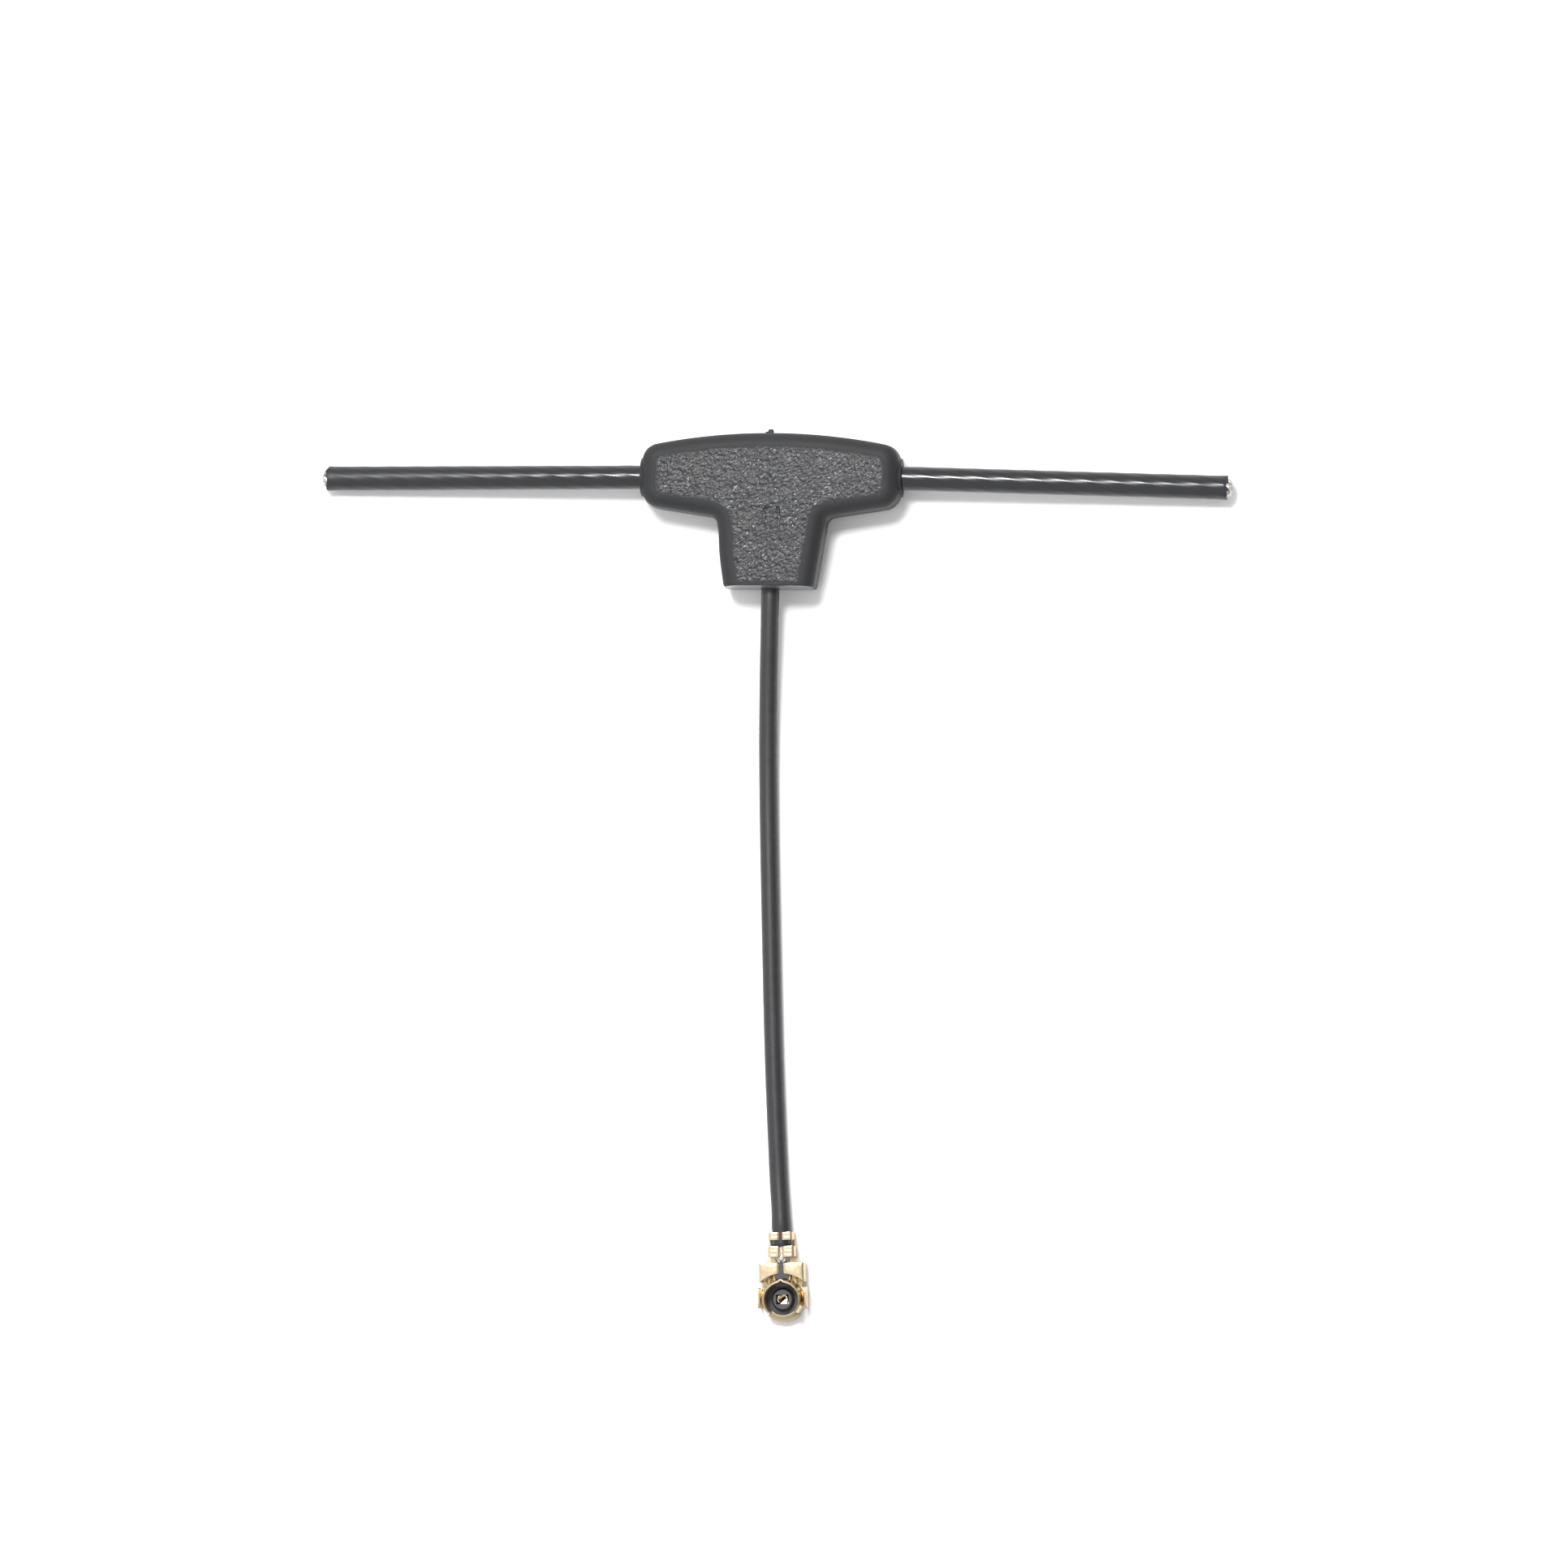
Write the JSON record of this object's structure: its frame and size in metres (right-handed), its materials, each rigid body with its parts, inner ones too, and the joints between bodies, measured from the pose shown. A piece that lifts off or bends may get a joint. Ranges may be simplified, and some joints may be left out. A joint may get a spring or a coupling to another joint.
{
  "type": "t-shaped antenna",
  "caption": "T-shaped dipole antenna with a moulded housing, stranded wire arms and a thin coaxial lead that ends in a gold-plated push-on plug.",
  "frame": {"origin": "on the flat back of the housing, below the point where the arm axis crosses the centreline", "axes": "+X along the arms, +Y away from the stem and the lead, +Z from the flat back to the front and out of the plug's socket"},
  "size_m": [0.0568, 0.0549, 0.0034],
  "materials": {
    "housing": "grained faces with smooth edges",
    "arm_jacket": "glossy extruded jacket",
    "strands": "silver-plated copper",
    "solder": "solder",
    "lead_jacket": "satin",
    "braid": "tinned copper braid",
    "dielectric": "smooth",
    "gold": "pale gold plating",
    "insulator": "smooth moulding"
  },
  "bodies": {
    "root": {"t_housing": "housing", "left_arm_jacket": "arm_jacket", "right_arm_jacket": "arm_jacket", "left_arm_strands": "strands", "right_arm_strands": "strands", "left_solder_joint": "solder", "right_solder_joint": "solder", "cable_jacket": "lead_jacket", "cable_braid": "braid", "cable_dielectric": "dielectric", "cable_core": "strands", "ground_contact": "gold", "connector_insulator": "insulator", "centre_contact": "gold"}
  },
  "joints": []
}
